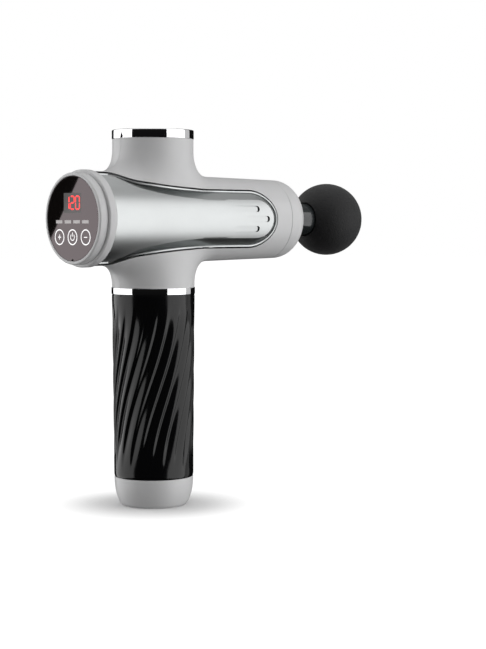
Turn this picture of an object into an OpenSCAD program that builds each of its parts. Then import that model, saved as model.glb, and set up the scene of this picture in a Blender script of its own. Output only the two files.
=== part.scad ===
/* [Body] */
// Height of the whole gun, from the foot to the top cap
body_h = 226; // [224:1:230]
// Height of the barrel axis above the foot
axis_z = 173; // [172:0.5:174]
// Barrel radius where the handle axis crosses it
barrel_r = 26.9; // [26.5:0.1:27.4]
// Radius that the barrel loses for each millimetre forwards
barrel_taper = 0.0203; // [0.018:0.001:0.022]
// Distance from the handle axis back to the glass
rear_reach = 60.4; // [60:0.2:62]
// Distance from the handle axis to the front rim of the nose
nose_reach = 106; // [105.5:0.5:107]
// Wall of the housing mouldings
wall = 3; // [2.6:0.1:3]
// Radius of the upper neck
neck_r = 24.4; // [24.2:0.1:24.6]

/* [Handle] */
// Radius of the grip at its top
grip_top_r = 25; // [24.8:0.1:25.2]
// Radius of the grip at its bottom
grip_bottom_r = 24; // [23.8:0.1:24.4]
// Height of the base cap
base_h = 17.6; // [17:0.2:18]
// Top of the grip
grip_top_z = 127.8; // [127:0.2:128.4]
// Number of flutes round the grip
flutes = 22; // [18:1:24]
// Depth of a flute
flute_depth = 1.2; // [0.6:0.1:1.2]
// Turn of a flute from the top of the grip to its bottom, in degrees
flute_turn = 60; // [30:5:75]

/* [Mechanism] */
// Travel of the massage head
stroke = 12; // [8:1:12]
// Distance between the two ends of the connecting rod
rod_len = 44; // [43:1:45]
// Radius of the piston
piston_r = 10.5; // [10.3:0.1:10.6]
// Radius of the push-in shank of a massage head
shank_r = 7; // [6.5:0.1:7.2]
// Length of the shank
shank_len = 20; // [18:1:22]
// Radius of the massage ball
ball_r = 23.5; // [21:0.5:24]
// Radial play of a running fit
fit_gap = 0.05; // [0.03:0.01:0.08]

/* [Hidden] */
$fn = 64;
eps = 0.01;

// Colours
light_grey = [0.72, 0.72, 0.73];
silver = [0.85, 0.87, 0.87];
gloss_black = [0.04, 0.04, 0.045];
bright_chrome = [0.93, 0.93, 0.94];
dark_plastic = [0.16, 0.17, 0.18];
foam_black = [0.06, 0.065, 0.07];
board_green = [0.05, 0.3, 0.14];
steel = [0.6, 0.61, 0.63];
copper = [0.78, 0.42, 0.2];
brass = [0.8, 0.65, 0.3];
rubber_black = [0.09, 0.09, 0.09];
cell_blue = [0.12, 0.35, 0.62];
led_red = [0.85, 0.08, 0.06];
wire_red = [0.7, 0.08, 0.06];

// Stations along the barrel
rear_x = -rear_reach;
bezel_len = 5.5;
rear_ring_len = 5.6;
ring_x = rear_x + bezel_len;
shell_x = ring_x + rear_ring_len;
nose_len = 13.3;
nose_x = nose_reach - nose_len;
nose_arc_r = 11.7;
nose_turn = 45;
nose_hole_r = 11.2;
bowl_r = 20.3;
bowl_d = 8;
bowl_floor_t = 2.5;

// The glass end
ring_r = 28.5;
bezel_r = 26.8;
glass_r = 24.8;
glass_t = 1.6;
board_r = 20.1;
board_t = 1.6;
board_x = rear_x + 6.4;
digits_w = 17.4;
digits_h = 12.4;
digits_z = 9;
touch_z = -10.8;
touch_pitch = 12.6;
level_z = -1.9;
level_pitch = 8.4;
level_w = 6.2;
level_h = 1.9;
display_hole_ring = 18.2;

// Heights on the handle
neck_ring_h = 4.1;
neck_ring_r = 25.2;
neck_ring_top = grip_top_z + neck_ring_h;
lower_neck_r = 24.9;
tube_r = 22;
tube_wall = 1.6;
tube_top = 143;
top_ring_h = 5.4;
top_ring_r = 24.6;
top_ring_z = body_h - top_ring_h;
foot_r = 19.2;
foot_round = 1.4;
neck_room = 19.6;
recess_r = 14.4;
recess_d = 3;

// The side panels and the channel round them
panel_lift = 0.3;
channel_d = 1.5;
panel_h = 11.6;
panel_tip = 76;
channel_tip = 80;
panel_step = 8;
slot_w = 3.65;
slot_len = 21;
slot_pitch = 6.2;
slot_x = 43.4;
slot_mid_x = 51.6;

// The drive
crank_r = stroke / 2;
wrist_x = rod_len - crank_r;
rod_t = 7;
big_end_r = 9.5;
small_end_r = 6;
pin_r = 3;
wrist_half = 9;
bearing_r = 6.5;
bearing_t = 5;
disc_z = 4.5;
disc_t = 5;
disc_r = 15;
pin_gap = 0.3;
plate_z = axis_z + 11.5;
plate_t = 4;
plate_r = 21;
plate_half_y = 17;
lead_notch = 5.4;
shaft_r = 2.5;
sleeve_r = 6.5;
motor_bearing_r = 5;
motor_bearing_t = 4;
stator_r = 15.5;
magnet_r = 18.4;
magnet_t = 2.1;
bell_r = 20.2;
bell_z = axis_z + neck_room + 0.8;
bell_h = 24;
piston_back_x = wrist_x - 8;
piston_front_x = 115.7;
collar_r = 10.2;
collar_len = 13.7;
ball_x = 148;
bush_r = 12;
bush_x = 56;
bush_front_x = 93;
tube_front_x = 95;
guide_r = 13.5;
damper_r = 16.5;
damper_len = 8;
damper_xs = [61, 86];
rib_t = 3;

// Battery
cell_r = 9.1;
cell_len = 65;
cell_ring = 10.7;
cell_z = 28;
holder_r = 20.1;
holder_t = 4;

// Screws: the shell's, from the left side
shell_bosses = [[-38, 18], [-38, -18], [50, 19], [50, -19], [78, 19], [78, -19]];
boss_r = 2.7;
screw_r = 1.3;
screw_head_r = 2.4;
ledge_x = 13;
ledge_y = 13;
ledge_r = 2.8;
ledge_reach = 8.6;

function barrel_at(x) = barrel_r - barrel_taper * x;
function smooth(t) = t <= 0 ? 0 : t >= 1 ? 1 : t * t * (3 - 2 * t);

// Puts a shape drawn up +Z along the barrel axis, its base at x
module along_barrel(x) {
    translate([x, 0, axis_z]) rotate([0, 90, 0]) children();
}

// A ring or disc about the barrel axis
module barrel_disc(x0, x1, r, hole = 0) {
    along_barrel(x0) difference() {
        cylinder(h = x1 - x0, r = r);
        if (hole > 0) translate([0, 0, -1]) cylinder(h = x1 - x0 + 2, r = hole);
    }
}

// A ring or disc about the handle axis
module upright_disc(z0, z1, r, hole = 0) {
    translate([0, 0, z0]) difference() {
        cylinder(h = z1 - z0, r = r);
        if (hole > 0) translate([0, 0, -1]) cylinder(h = z1 - z0 + 2, r = hole);
    }
}

module barrel_cone(x0, x1, grow = 0) {
    along_barrel(x0) cylinder(h = x1 - x0, r1 = barrel_at(x0) + grow, r2 = barrel_at(x1) + grow);
}

// Half-height of the silver panel, and of the channel that borders it
function panel_half(x) =
    let (u = max(0, 25 - x), v = max(0, u - 50))
    panel_h + 2.5 * pow(u / 33, 1.9) + 2.7 * pow(v / 13.6, 2);
function channel_half(x) = panel_half(x) + 5.2 - 1.9 * max(0, min(1, (10 - x) / 40));

// Outline in x and height, open at the back and round at the front
function half_outline(tip, half_at_tip, is_channel) = concat(
    [for (x = [shell_x - 1 : panel_step : tip - half_at_tip - 4])
        [x, is_channel ? channel_half(x) : panel_half(x)]],
    [for (a = [90 : -15 : 0]) [tip - half_at_tip + half_at_tip * cos(a), half_at_tip * sin(a)]]
);
module mirrored_outline(pts) {
    last = len(pts) - 2;
    polygon(concat(pts, [for (i = [last : -1 : 0]) [pts[i][0], -pts[i][1]]]));
}

// A prism through one side of the barrel with that outline; side is 1 for left, -1 for right
module side_prism(side, is_channel) {
    tip = is_channel ? channel_tip : panel_tip;
    half = is_channel ? channel_half(tip) : panel_half(tip);
    translate([0, side > 0 ? 40 : -eps, axis_z]) rotate([90, 0, 0])
        linear_extrude(height = 40 - eps) mirrored_outline(half_outline(tip, half, is_channel));
}

module pill(len, w, depth) {
    linear_extrude(height = depth) union() {
        translate([w / 2, -w / 2]) square([len - w, w]);
        for (x = [w / 2, len - w / 2]) translate([x, 0]) circle(d = w);
    }
}

module side_slots(side) {
    rows = [[slot_x, slot_pitch], [slot_mid_x, 0], [slot_x, -slot_pitch]];
    for (row = rows)
        translate([row[0], side > 0 ? 40 : -10, axis_z + row[1]]) rotate([90, 0, 0])
            pill(slot_len, slot_w, 30);
}

// The flare where a neck meets the barrel: levels of height and fore-and-aft reach
flare_half_y = 18;
top_flare = [[36.4, 23.6], [31.6, 25.6], [28.2, 28.6], [25.6, 33.4], [14, 33.4]];
low_flare = [[-39.6, 24.2], [-34, 26], [-29.4, 29], [-26, 33.5], [-14, 33.5]];
module flare(levels) {
    for (i = [0 : len(levels) - 2]) hull() {
        flare_slice(levels[i]);
        flare_slice(levels[i + 1]);
    }
}
module flare_slice(level) {
    translate([0, 0, axis_z + level[0]]) linear_extrude(height = 0.2)
        scale([level[1], flare_half_y]) circle(r = 1, $fn = 32);
}

module housing_outside() {
    barrel_cone(shell_x, nose_x);
    upright_disc(axis_z, top_ring_z, neck_r);
    upright_disc(neck_ring_top, axis_z, lower_neck_r);
}

module housing_inside() {
    barrel_cone(shell_x - 1, nose_x + 1, -wall);
    upright_disc(axis_z + neck_room, top_ring_z + 1, neck_r - wall);
    upright_disc(neck_ring_top - 1, axis_z - neck_room, tube_r + 0.1);
}

// Ribs that carry the rubber rings of the drive frame
module damper_ribs() {
    for (x = damper_xs) {
        rib_x = x + (damper_len - rib_t) / 2;
        barrel_disc(rib_x, rib_x + rib_t, barrel_at(rib_x) - wall + 0.5, damper_r + 0.05);
    }
}

// Screw boss from the housing wall to the joint line
module shell_boss(x, z, side) {
    reach = sqrt(pow(barrel_at(x) - 1, 2) - pow(abs(z) + boss_r, 2));
    translate([x, side > 0 ? reach : 0, axis_z + z]) rotate([90, 0, 0])
        cylinder(h = reach, r = boss_r);
}

module frame_ledge(x, side) {
    low = axis_z + 5;
    translate([x, side * ledge_y, low]) cylinder(h = plate_z - low, r = ledge_r);
    translate([x - ledge_r, side > 0 ? ledge_y : -ledge_y - ledge_reach, low])
        cube([2 * ledge_r, ledge_reach, plate_z - low]);
}

module half_space(side) {
    translate([-100, side > 0 ? 0 : -100, 0]) cube([300, 100, 300]);
}

module shell_half(side) {
    intersection() {
        union() {
            difference() {
                union() {
                    housing_outside();
                    flare(top_flare);
                    flare(low_flare);
                }
                housing_inside();
                difference() {
                    side_prism(side, true);
                    barrel_cone(shell_x - 2, nose_x + 2, -channel_d);
                }
            }
            damper_ribs();
            for (b = shell_bosses) shell_boss(b[0], b[1], side);
            for (x = [-ledge_x, ledge_x]) frame_ledge(x, side);
        }
        half_space(side);
    }
}

module shell_left() color(light_grey) difference() {
    shell_half(1);
    shell_screw_cuts(screw_r + 0.2, screw_head_r + 0.2);
    frame_screw_cuts(screw_r);
}

module shell_right() color(light_grey) difference() {
    shell_half(-1);
    for (b = shell_bosses) translate([b[0], 0.5, axis_z + b[1]]) rotate([90, 0, 0])
        cylinder(h = 9.5, r = screw_r);
    frame_screw_cuts(screw_r);
}

module side_panel(side) {
    difference() {
        intersection() {
            side_prism(side, false);
            difference() {
                barrel_cone(shell_x, nose_x, panel_lift);
                barrel_cone(shell_x - 1, nose_x + 1, 0.05 - channel_d);
            }
        }
        side_slots(side);
    }
}
module side_panel_left() color(silver) side_panel(1);
module side_panel_right() color(silver) side_panel(-1);

// The glass end: light ring, bezel, glass and what is behind it
module rear_ring() color(light_grey) along_barrel(ring_x) rotate_extrude() polygon([
    [22, 0], [ring_r - 1.2, 0], [ring_r, 1.2], [ring_r, rear_ring_len],
    [24.6, rear_ring_len], [24.6, rear_ring_len + 4], [22, rear_ring_len + 4]
]);

module bezel() color(light_grey) difference() {
    union() {
        bezel_ring();
        for (h = display_holes) translate([rear_x + 3.9, h[0], axis_z + h[1]]) rotate([0, 90, 0])
            cylinder(h = board_x - rear_x - 3.9, r = 1.7);
    }
    for (h = display_holes) translate([board_x - 1.5, h[0], axis_z + h[1]]) rotate([0, 90, 0])
        cylinder(h = 4, r = 1.02);
}
module bezel_ring() along_barrel(rear_x) rotate_extrude() polygon([
    [glass_r + 0.05, 0], [bezel_r - 0.9, 0], [bezel_r, 1], [bezel_r, bezel_len],
    [21.9, bezel_len], [21.9, bezel_len + 3.4], [board_r + 0.1, bezel_len + 3.4],
    [board_r + 0.1, board_x - rear_x], [19, board_x - rear_x], [19, 3.9],
    [23, 2.9], [23, glass_t], [glass_r + 0.05, glass_t]
]);

module display_glass() color(gloss_black)
    barrel_disc(rear_x, rear_x + glass_t, glass_r);

// A block behind the glass, centred at y and height z on the glass end
module glass_block(y, z, w, h, deep) {
    translate([board_x - deep, y - w / 2, axis_z + z - h / 2]) cube([deep, w, h]);
}
module digit_module() color(led_red)
    glass_block(0, digits_z, digits_w, digits_h, board_x - rear_x - glass_t - 0.1);

module level_lights() color([0.5, 0.5, 0.52])
    for (i = [-1.5 : 1 : 1.5])
        glass_block(i * level_pitch, level_z, level_w, level_h, 4.2);

module touch_springs() color(steel)
    for (i = [-1, 0, 1]) translate([0, i * touch_pitch, touch_z])
        barrel_disc(rear_x + glass_t, board_x, 2.2, 1.4);

display_holes = [for (a = [0 : 90 : 270]) [display_hole_ring * cos(a), display_hole_ring * sin(a)]];
module display_board() color(board_green) difference() {
    barrel_disc(board_x, board_x + board_t, board_r);
    for (h = display_holes) translate([board_x - 1, h[0], axis_z + h[1]]) rotate([0, 90, 0])
        cylinder(h = board_t + 2, r = 1.1);
}
module display_screws() color(steel)
    for (h = display_holes) translate([0, h[0], axis_z + h[1]]) rotate([0, 90, 0]) {
        translate([0, 0, board_x - 1.4]) cylinder(h = board_t + 1.4, r = 1);
        translate([0, 0, board_x + board_t]) cylinder(h = 1.2, r = 1.9);
    }

// Nose: a short cone that rounds over to its rim, with a bowl in front for the head's travel
nose_start_r = barrel_at(nose_x);
nose_arc_x = nose_len - nose_arc_r * sin(nose_turn);
nose_arc_top = nose_start_r - barrel_taper * nose_arc_x;
nose_floor_x = nose_len - bowl_d;
module nose_cap() color(light_grey) along_barrel(nose_x) rotate_extrude() polygon(concat(
    [[nose_start_r - wall, 0], [nose_start_r, 0]],
    [for (a = [0 : nose_turn / 6 : nose_turn])
        [nose_arc_top - nose_arc_r * (1 - cos(a)), nose_arc_x + nose_arc_r * sin(a)]],
    [[bowl_r, nose_len], [bowl_r, nose_floor_x], [nose_hole_r, nose_floor_x],
        [nose_hole_r, nose_floor_x - bowl_floor_t], [nose_start_r - wall, nose_floor_x - bowl_floor_t]]
));

module nose_seal() color(rubber_black)
    barrel_disc(bush_front_x, tube_front_x, bush_r, piston_r + 2 * fit_gap);

// Top of the upper neck
module top_ring() color(bright_chrome)
    translate([0, 0, top_ring_z]) rotate_extrude() polygon([
        [neck_r - wall - 1, -3], [neck_r - wall - 0.05, -3], [neck_r - wall - 0.05, 0], [top_ring_r, 0],
        [top_ring_r, top_ring_h - 0.5], [top_ring_r - 0.5, top_ring_h],
        [22.6, top_ring_h], [22.6, 2], [neck_r - wall - 1, 2]
    ]);
module top_cap() color(gloss_black)
    translate([0, 0, top_ring_z + 2]) rotate_extrude() polygon([
        [0, 0], [22.5, 0], [22.5, 2.6], [21.9, 3.2], [19, 3.2], [18, 2.6], [0, 2.6]
    ]);

// Handle
module neck_ring() color(bright_chrome)
    translate([0, 0, grip_top_z]) rotate_extrude() polygon([
        [tube_r + 0.05, 0], [neck_ring_r, 0], [neck_ring_r, neck_ring_h],
        [tube_r + 0.05, neck_ring_h]
    ]);
module handle_tube() color(dark_plastic)
    upright_disc(base_h, tube_top, tube_r, tube_r - tube_wall);

// Fluted sleeve: asymmetric ribs that wind down the grip and fade out at both ends
rib_levels = [-1, -0.35, 0.7, 1];
rib_phases = [0, 0.3, 0.62, 0.8];
grip_rings = 26;
grip_h = grip_top_z - base_h;
points_round = flutes * len(rib_levels);
function grip_fade(t) = smooth((t - 0.03) / 0.22) * smooth((0.97 - t) / 0.22);
function grip_point(i, t) =
    let (
        flute = floor(i / len(rib_levels)),
        k = i % len(rib_levels),
        angle = 360 * (flute + rib_phases[k]) / flutes + flute_turn * smooth(t),
        crest = grip_bottom_r + (grip_top_r - grip_bottom_r) * t,
        r = crest - flute_depth * grip_fade(t) * (1 - rib_levels[k]) / 2
    )
    [r * cos(angle), r * sin(angle), base_h + grip_h * t];
function grip_inner(i, z) =
    let (angle = 360 * i / points_round)
    [(tube_r + 0.02) * cos(angle), (tube_r + 0.02) * sin(angle), z];
module grip_sleeve() color(gloss_black) {
    n = points_round;
    m = grip_rings;
    outer = [for (j = [0 : m]) for (i = [0 : n - 1]) grip_point(i, j / m)];
    inner_low = [for (i = [0 : n - 1]) grip_inner(i + 0.5, base_h)];
    inner_top = [for (i = [0 : n - 1]) grip_inner(i + 0.5, grip_top_z)];
    low0 = n * (m + 1);
    top0 = low0 + n;
    skin = [for (j = [0 : m - 1]) for (i = [0 : n - 1]) for (half = [0, 1])
        let (a = j * n + i, b = j * n + (i + 1) % n)
        half == 0 ? [a, a + n, b] : [b, a + n, b + n]];
    foot = [for (i = [0 : n - 1]) for (half = [0, 1])
        let (a = i, b = (i + 1) % n, c = low0 + i, d = low0 + (i + 1) % n)
        half == 0 ? [a, b, c] : [b, d, c]];
    head = [for (i = [0 : n - 1]) for (half = [0, 1])
        let (a = m * n + i, b = m * n + (i + 1) % n, c = top0 + i, d = top0 + (i + 1) % n)
        half == 0 ? [a, c, b] : [b, c, d]];
    bore = [for (i = [0 : n - 1]) for (half = [0, 1])
        let (a = low0 + i, b = low0 + (i + 1) % n, c = top0 + i, d = top0 + (i + 1) % n)
        half == 0 ? [a, b, c] : [b, d, c]];
    polyhedron(points = concat(outer, inner_low, inner_top),
        faces = concat(skin, foot, head, bore), convexity = 6);
}

// Base: a cup with a recess below for the switch and the charging inlet
switch_x = -5.6;
switch_w = 10;
switch_l = 15;
jack_x = 7.2;
jack_r = 4.2;
inner_floor = 7;
base_screw_y = 11.4;
base_screw_x = 2.6;
base_levels = 7;
base_curl = grip_bottom_r - foot_r - foot_round;
function base_side(t) = [grip_bottom_r - 0.1 - (base_curl - 0.1) * pow(1 - t, 2.4), foot_round
    + (base_h - foot_round) * t];
module base_cap() color(light_grey) difference() {
    rotate_extrude() polygon(concat(
        [[0, 0], [foot_r, 0]],
        [for (a = [-60 : 30 : -30]) [foot_r + foot_round * cos(a), foot_round * (1 + sin(a))]],
        [for (i = [0 : base_levels]) base_side(i / base_levels)],
        [[tube_r - tube_wall - 0.1, base_h], [tube_r - tube_wall - 0.1, base_h + 5], [0, base_h + 5]]
    ));
    upright_disc(inner_floor, base_h + 6, 18);
    upright_disc(-1, recess_d, recess_r);
    translate([switch_x - switch_w / 2, -switch_l / 2, -1]) cube([switch_w, switch_l, 20]);
    translate([jack_x, 0, -1]) cylinder(h = 20, r = jack_r);
    for (s = [-1, 1]) translate([base_screw_x, s * base_screw_y, -1]) cylinder(h = 20, r = screw_r);
}
module base_screws() color(steel)
    for (s = [-1, 1]) translate([base_screw_x, s * base_screw_y, 0]) {
        translate([0, 0, 1.4]) cylinder(h = 1.6, r = screw_head_r);
        translate([0, 0, 3]) cylinder(h = 9, r = screw_r - 0.1);
    }

jack_bore_r = 2.85;
jack_pin_r = 1.05;
module charge_socket() color(dark_plastic) translate([jack_x, 0, 0]) difference() {
    union() {
        translate([0, 0, recess_d - 0.6]) cylinder(h = 0.6, r = jack_r + 0.8);
        translate([0, 0, recess_d]) cylinder(h = 11, r = jack_r);
    }
    cylinder(h = 12, r = jack_bore_r);
}
module charge_pin() color(brass) translate([jack_x, 0, 4]) cylinder(h = 8, r = jack_pin_r);

// Rocker switch; its pivot lies along X
rocker_z = 6;
rocker_tilt = 11;
rocker_w = 7.4;
rocker_half = 6.1;
rocker_pin_r = 0.8;
module switch_housing() color(dark_plastic) difference() {
    translate([switch_x - switch_w / 2, -switch_l / 2, recess_d - 0.4]) cube([switch_w, switch_l, 11.4]);
    translate([switch_x - 4, -7, recess_d - 1]) cube([8, 14, 7.6]);
    translate([switch_x - 4.6, 0, rocker_z]) rotate([0, 90, 0])
        cylinder(h = 9.2, r = rocker_pin_r + fit_gap);
}
module power_rocker() color(gloss_black) translate([switch_x, 0, rocker_z])
    rotate([rocker_tilt, 0, 0]) union() {
        translate([-rocker_w / 2, 0, 0]) rotate([90, 0, 90]) linear_extrude(height = rocker_w)
            polygon([[-rocker_half, -4], [rocker_half, -4], [rocker_half - 1, -1.6], [2.4, 2],
                [-2.4, 2], [1 - rocker_half, -1.6]]);
        translate([-4.5, 0, 0]) rotate([0, 90, 0]) cylinder(h = 9, r = rocker_pin_r);
    }

// Battery pack
cell_angles = [30, 150, 270];
module each_cell(z) {
    for (a = cell_angles) translate([cell_ring * cos(a), cell_ring * sin(a), z]) children();
}
module cell_holder(z, pocket_z) {
    difference() {
        upright_disc(z, z + holder_t, holder_r, 3);
        each_cell(pocket_z) cylinder(h = 3, r = cell_r + 0.05);
    }
}
module cell_holder_lower() color(dark_plastic) cell_holder(cell_z - 3, cell_z);
module cell_holder_upper() color(dark_plastic)
    cell_holder(cell_z + cell_len - 1, cell_z + cell_len - 3 + eps);
module battery_cells() color(cell_blue) each_cell(cell_z) cylinder(h = cell_len, r = cell_r);
link_z = cell_z + cell_len + 3;
link_t = 0.3;
long_link = [18, 4, link_t];
short_link = [6, 10, link_t];
module cell_links() color(steel) {
    translate([-long_link[0] / 2, 3, link_z]) cube(long_link);
    translate([-short_link[0] / 2, -12, link_z]) cube(short_link);
}
bms_z = link_z + 2;
bms_r = 17;
bms_chip = [6, 8, 1.6];
bms_resistor = [4, 10, 1.2];
bms_post_y = 13;
module battery_board() color(board_green) {
    upright_disc(bms_z, bms_z + board_t, bms_r);
    translate([-8, -4, bms_z + board_t]) cube(bms_chip);
    translate([3, -5, bms_z + board_t]) cube(bms_resistor);
    for (s = [-1, 1]) translate([-1, s * bms_post_y - 1, link_z + link_t])
        cube([2, 2, bms_z - link_z - link_t]);
}
driver_z = bms_z + 8;
driver_h = 32;
driver_w = 34;
driver_y = 3;
transistor = [6.5, 1.6, 6];
transistor_pitch = 9;
controller = [9, 1.2, 9];
capacitor_r = 4.9;
capacitor_h = 12;
plug_block = [10, 5, 6];
module driver_board() color(board_green)
    translate([-driver_w / 2, driver_y, driver_z]) cube([driver_w, board_t, driver_h]);
module driver_parts() color(dark_plastic) {
    for (i = [0 : 2]) translate([-13 + transistor_pitch * i, driver_y - transistor[1], driver_z + 4])
        cube(transistor);
    translate([-5, driver_y - controller[1], driver_z + 14]) cube(controller);
    translate([10, driver_y - 5, driver_z + 16]) cylinder(h = capacitor_h, r = capacitor_r);
    translate([-14, driver_y - plug_block[1], driver_z + driver_h - plug_block[2]]) cube(plug_block);
}

// Round lead swept through hand-set points, smoothed between them
function curve_point(p, i, t) =
    let (
        a = p[max(0, i - 1)], b = p[i], c = p[i + 1], d = p[min(len(p) - 1, i + 2)],
        t2 = t * t, t3 = t2 * t
    )
    0.5 * (2 * b + (c - a) * t + (2 * a - 5 * b + 4 * c - d) * t2 + (3 * b - a - 3 * c + d) * t3);
function curve(p, steps) = concat(
    [for (i = [0 : len(p) - 2]) for (k = [0 : steps - 1]) curve_point(p, i, k / steps)],
    [p[len(p) - 1]]
);
module lead(hand_points, r) {
    sides = 8;
    pts = curve(hand_points, 3);
    last = len(pts) - 1;
    tangents = [for (i = [0 : last])
        let (d = pts[min(last, i + 1)] - pts[max(0, i - 1)]) d / norm(d)];
    rings = [for (i = [0 : last])
        let (u0 = cross([0, 1, 0.001], tangents[i]), u = u0 / norm(u0), v = cross(tangents[i], u))
        for (k = [0 : sides - 1])
            pts[i] + r * (cos(360 * k / sides) * u + sin(360 * k / sides) * v)];
    body = [for (i = [0 : last - 1]) for (k = [0 : sides - 1]) for (half = [0, 1])
        let (a = i * sides + k, b = i * sides + (k + 1) % sides)
        half == 0 ? [a, a + sides, b] : [b, a + sides, b + sides]];
    start = [[for (k = [0 : sides - 1]) k]];
    finish = [[for (k = [sides - 1 : -1 : 0]) last * sides + k]];
    polyhedron(points = rings, faces = concat(body, start, finish), convexity = 8);
}
battery_lead_r = 0.8;
signal_lead_r = 0.6;
module battery_leads() {
    color(wire_red) lead([[-10, -8, 99.8], [-10, -8, 101.5], [-10, -7.8, 103.2], [-9, -4, 106.2],
        [-8, 2.1, 107.5]], battery_lead_r);
    color(rubber_black) lead([[10, -8, 99.8], [10, -8, 101.5], [10, -7.8, 103.2], [9, -4, 106.2],
        [8, 2.1, 107.5]], battery_lead_r);
}
module motor_leads() color(rubber_black)
    for (i = [-1, 0, 1])
        lead([[-7.5 + 2.2 * i, 0.5, 138.2], [-12 + 2.4 * i, 4 + i, 145], [-18.5, 2 + 3 * i, 154],
            [-20.5, 3 * i, 170], [-20.5, 3 * i, 186], [-17, 3 * i, 190], [-12.8, 3 * i, 191]],
            battery_lead_r);
module display_leads() color([0.75, 0.75, 0.72])
    for (i = [0 : 2])
        lead([[-12.5, 1.4 - 1.4 * i, 138.2], [-13, -5 - 2 * i, 146], [-18, -5 - 2 * i, 156],
            [-32, -5 - 2 * i, 163], [-46, -5 - 2 * i, 167], [board_x + board_t, -5 - 2 * i, 167]],
            signal_lead_r);

// Drive frame: plate for the motor, guide tube for the piston
module drive_frame() color(steel) difference() {
    union() {
        intersection() {
            upright_disc(plate_z, plate_z + plate_t, plate_r);
            translate([-30, -plate_half_y, plate_z]) cube([60, 2 * plate_half_y, plate_t]);
        }
        translate([0, -12, plate_z]) cube([60, 24, plate_t]);
        barrel_disc(bush_x - 2, tube_front_x, guide_r);
        for (s = [-1, 1]) translate([16, s * 11 - 1.5, plate_z - 5]) cube([42, 3, 6]);
    }
    along_barrel(bush_x - 3) cylinder(h = 60, r = bush_r);
    upright_disc(plate_z - 1, plate_z + plate_t + 1, sleeve_r - 0.6);
    frame_screw_cuts(1.6);
    translate([-plate_r - 1, -5, plate_z - 1]) cube([lead_notch, 10, plate_t + 2]);
    for (a = [0 : 90 : 270]) rotate([0, 0, a]) translate([9, 0, plate_z - 1]) cylinder(h = 8, r = 1.3);
}
module damper_rings() color(rubber_black)
    for (x = damper_xs) difference() {
        barrel_disc(x, x + damper_len, damper_r + 1.4, guide_r);
        difference() {
            barrel_disc(x + (damper_len - rib_t) / 2, x + (damper_len + rib_t) / 2, damper_r + 3);
            barrel_disc(x - 1, x + damper_len + 1, damper_r);
        }
    }
module front_bush() color(brass)
    barrel_disc(bush_x, bush_front_x, bush_r, piston_r + fit_gap);

// Motor
teeth = 12;
stack_z = plate_z + 10.5;
stack_h = 13;
module motor_stator() color(steel) {
    difference() {
        union() {
            upright_disc(plate_z + plate_t, plate_z + plate_t + 2.2, 12);
            upright_disc(plate_z + plate_t, stack_z + stack_h + 3, sleeve_r);
            upright_disc(stack_z, stack_z + stack_h, 8);
            for (i = [0 : teeth - 1]) rotate([0, 0, 360 * i / teeth])
                translate([7, -1, stack_z]) cube([7.4, 2, stack_h]);
            difference() {
                upright_disc(stack_z, stack_z + stack_h, stator_r, stator_r - 1.6);
                for (i = [0 : teeth - 1]) rotate([0, 0, 360 * (i + 0.5) / teeth])
                    translate([10, -0.6, stack_z - 1]) cube([8, 1.2, stack_h + 2]);
            }
        }
        upright_disc(plate_z, stack_z + stack_h + 4, motor_bearing_r);
        for (a = [0 : 90 : 270]) rotate([0, 0, a]) translate([9, 0, plate_z]) cylinder(h = 6.3, r = 1.1);
    }
}
module motor_windings() color(copper)
    for (i = [0 : teeth - 1]) rotate([0, 0, 360 * i / teeth]) difference() {
        translate([8.6, -1.9, stack_z - 1.4]) cube([4.6, 3.8, stack_h + 2.8]);
        translate([7, -1.02, stack_z - eps]) cube([8, 2.04, stack_h + 2 * eps]);
    }
module motor_bearings() color(steel)
    for (z = [plate_z + plate_t + 1, stack_z + stack_h - 1.2])
        upright_disc(z, z + motor_bearing_t, motor_bearing_r, shaft_r + fit_gap);
module rotor_bell() color(steel) difference() {
    upright_disc(bell_z, bell_z + bell_h, bell_r);
    upright_disc(bell_z - 1, bell_z + bell_h - 2.4, magnet_r);
    upright_disc(bell_z, bell_z + bell_h + 1, shaft_r);
    for (a = [0 : 60 : 300]) rotate([0, 0, a]) translate([11, 0, bell_z + bell_h - 4])
        cylinder(h = 6, r = 3);
}
module rotor_magnets() color(dark_plastic) difference() {
    upright_disc(bell_z + 1.6, bell_z + 18.6, magnet_r, magnet_r - magnet_t);
    for (i = [0 : 13]) rotate([0, 0, 360 * i / 14]) translate([12, -0.3, bell_z])
        cube([8, 0.6, 22]);
}
module motor_shaft() color(steel)
    upright_disc(axis_z + disc_z, bell_z + bell_h + 1.4, shaft_r);
module crank_disc() color(steel) difference() {
    union() {
        intersection() {
            upright_disc(axis_z + disc_z, axis_z + disc_z + disc_t, disc_r);
            translate([0, -20, axis_z]) cube([20, 40, 20]);
        }
        upright_disc(axis_z + disc_z, axis_z + disc_z + disc_t, 11);
    }
    upright_disc(axis_z, axis_z + 20, shaft_r);
    translate([-crank_r, 0, axis_z]) cylinder(h = 20, r = pin_r);
    for (a = [140, 220]) rotate([0, 0, a]) translate([7.4, 0, axis_z]) cylinder(h = 20, r = 1.8);
}
pin_low = axis_z + rod_t / 2 + pin_gap;
module crank_pin() color(steel)
    translate([-crank_r, 0, pin_low]) cylinder(h = axis_z + disc_z + disc_t - pin_low, r = pin_r);

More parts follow.
